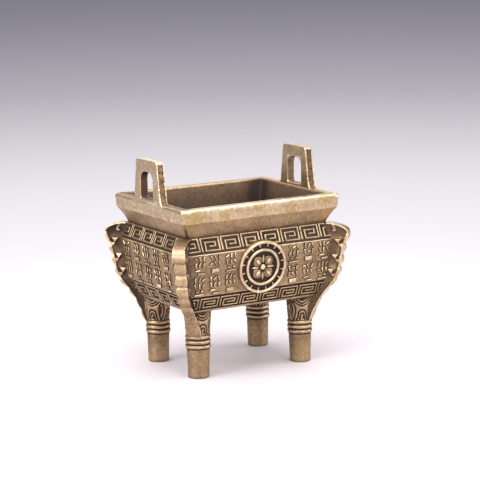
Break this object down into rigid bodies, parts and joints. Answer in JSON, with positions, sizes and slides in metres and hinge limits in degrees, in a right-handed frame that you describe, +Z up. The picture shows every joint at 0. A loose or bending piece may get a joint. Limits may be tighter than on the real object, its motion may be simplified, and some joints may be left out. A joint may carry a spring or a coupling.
{
  "type": "four-legged rectangular censer",
  "caption": "Miniature cast-brass rectangular censer: an open bowl on round legs, with upright pierced ears, scalloped corner flanges, fret bands and a round boss on each long side.",
  "frame": {"origin": "on the ground under the middle of the censer", "axes": "+Z up, +X along the long side, -Y towards the finished front with its roundel"},
  "size_m": [0.0282, 0.0232, 0.03],
  "materials": {
    "antique_brass": "satin antique brass, bright on the raised work and dark brown in the recesses"
  },
  "bodies": {
    "root": {"censer": "antique_brass"}
  },
  "joints": []
}
